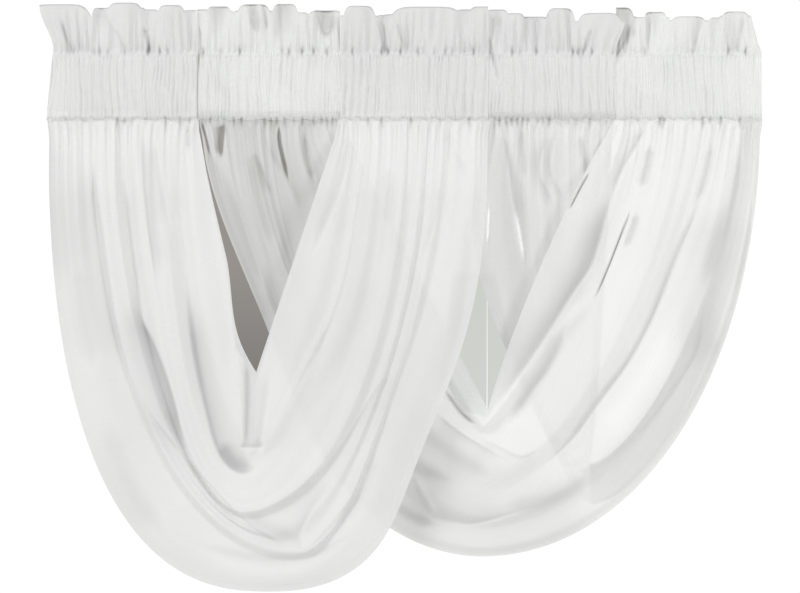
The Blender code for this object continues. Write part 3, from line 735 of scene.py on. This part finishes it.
# A row per strip: its grid, its creases, how calm its folds are, its flat size and area in metres,
# and the headings that its ends are gathered onto.
Strip = namedtuple("Strip", "swag rows columns creases calm gather_seed flat area hung_from")
STRIPS = [
    Strip(SWAG_LEFT, 289, 330, LEFT_SWAG_CREASES, 0.5, 29.9, (1.42, 0.36), 0.35,
          ("heading_1", "heading_3")),
    Strip(SWAG_RIGHT, 281, 340, RIGHT_SWAG_CREASES, 0.8, 35.9, (1.42, 0.36), 0.33,
          ("heading_2", "heading_5")),
    Strip(SWAG_BACK, 201, 260, BACK_SWAG_CREASES, 1.0, 8.9, (1.10, 0.16), 0.10,
          ("heading_4", "heading_5")),
]
for strip in STRIPS:
    piece = voile_piece(strip.swag.name, swag_sheet(
        strip.swag, strip.rows, strip.columns, strip.creases, strip.calm, strip.gather_seed))

# Cards, floor, light and camera
EYE_Y, CARD_Y = -6.0, 14.0
CENTRE_X, CENTRE_Z = -0.00625, -0.2619
CARD_AWAY = (CARD_Y - EYE_Y) / -EYE_Y
FLOOR_HALF, FLOOR_Z = 5, -1.25
SENSOR_WIDTH, FOCAL_LENGTH, CLIP_END = 36.0, 216.0, 100.0


def carried_back(x, z):
    """A place at the valance in mm, carried straight back from the eye to the cards, in metres."""
    return CENTRE_X + (x * MM - CENTRE_X) * CARD_AWAY, CENTRE_Z + (z * MM - CENTRE_Z) * CARD_AWAY


def stage_piece(name, corners, material):
    """A flat piece of the stage through its corners in metres."""
    mesh = bpy.data.meshes.new(name)
    mesh.from_pydata(corners, [], [list(range(len(corners)))])
    mesh.materials.append(material)
    piece = bpy.data.objects.new(name, mesh)
    bpy.context.scene.collection.objects.link(piece)
    return piece


def painted_shade_card(name, outline, material):
    """A flat card of painted shade far behind, drawn by its outline at the valance (x, z in mm)."""
    places = [carried_back(x, z) for x, z in outline]
    card = stage_piece(name, [(x, CARD_Y, z) for x, z in places], material)
    card.visible_shadow = card.visible_diffuse = False


# painted shade: a grey card, darker towards its foot, glows behind the gap at the left neckline for the
# shadowed wall seen there; a pale grey card glows behind the gap at the right neckline
grey = painted_shade_card_material("grey painted shade card", "#827f7c", "#97928e",
                      carried_back(0, -360)[1], carried_back(0, -220)[1])
pale = painted_shade_card_material("pale painted shade card", "#d0d3ce", "#cdd0ca",
                      carried_back(0, -410)[1], carried_back(0, -240)[1])
painted_shade_card("shade_card_behind_left_neck",
              [(-262, -30), (-76, -30), (-96, -110), (-128, -200), (-160, -286), (-184, -362),
               (-198, -346), (-212, -326), (-222, -240), (-240, -150)], grey)

# The pale card has a slit 0.6 to 1.1 mm wide as seen, a line of white light beside x = 103.
painted_shade_card("shade_card_behind_right_neck",
              [(60, -232), (112, -232), (128, -300), (134, -340), (128, -372), (104, -412),
               (103.1, -412), (103.0, -266), (102.4, -266), (102.0, -412), (70, -404), (44, -356)], pale)

floor_paint = bpy.data.materials.new("matt white floor paint")
floor_paint.use_nodes = True
floor_coat = floor_paint.node_tree.nodes["Principled BSDF"]
floor_coat.inputs["Base Color"].default_value = linear("#ececea")
floor_coat.inputs["Roughness"].default_value = 0.9
stage_piece("studio_floor", [(x * FLOOR_HALF, y * FLOOR_HALF, FLOOR_Z)
                             for x, y in ((-1, -1), (1, -1), (1, 1), (-1, 1))], floor_paint)

# A white room: what the eye sees of it is brighter than the light that it gives.
scene = bpy.context.scene
world = bpy.data.worlds.new("white studio")
world.use_nodes = True
sky = world.node_tree
sky.nodes.clear()
path = add_node(sky, "ShaderNodeLightPath")
soft = add_node(sky, "ShaderNodeBackground", {"Color": (1, 1, 1, 1), "Strength": 0.56})
seen = add_node(sky, "ShaderNodeBackground", {"Color": (1, 1, 1, 1), "Strength": 1.02})
both = add_node(sky, "ShaderNodeMixShader", links={
    0: path.outputs["Is Camera Ray"], 1: soft.outputs[0], 2: seen.outputs[0]})
add_node(sky, "ShaderNodeOutputWorld", links={"Surface": both.outputs[0]})
scene.world = world


def soft_light(name, place, aim, width, power):
    """A square soft box at a place, turned towards its aim."""
    lamp = bpy.data.lights.new(name, "AREA")
    lamp.size, lamp.energy = width, power
    box = bpy.data.objects.new(name, lamp)
    away = np.array(place) - np.array(aim)
    tilt = math.acos(away[2] / np.linalg.norm(away))
    box.location = place
    box.rotation_euler = (tilt, 0, math.atan2(away[1], away[0]) + math.pi / 2)
    scene.collection.objects.link(box)


MIDDLE_OF_CLOTH = (0, 0, -0.3)
soft_light("left soft box", (-6.4, -4.8, 4.8), MIDDLE_OF_CLOTH, 2.4, 360)
soft_light("right soft box", (3.6, -4.2, 1.0), MIDDLE_OF_CLOTH, 1.6, 80)

lens = bpy.data.cameras.new("photo camera")
lens.sensor_width, lens.lens = SENSOR_WIDTH, FOCAL_LENGTH
lens.clip_end = CLIP_END
camera = bpy.data.objects.new("photo camera", lens)
camera.location = (CENTRE_X, EYE_Y, CENTRE_Z)
camera.rotation_euler = (math.pi / 2, 0, 0)
scene.collection.objects.link(camera)
scene.camera = camera
scene.view_settings.view_transform = "Standard"
scene.cycles.transparent_max_bounces = 24
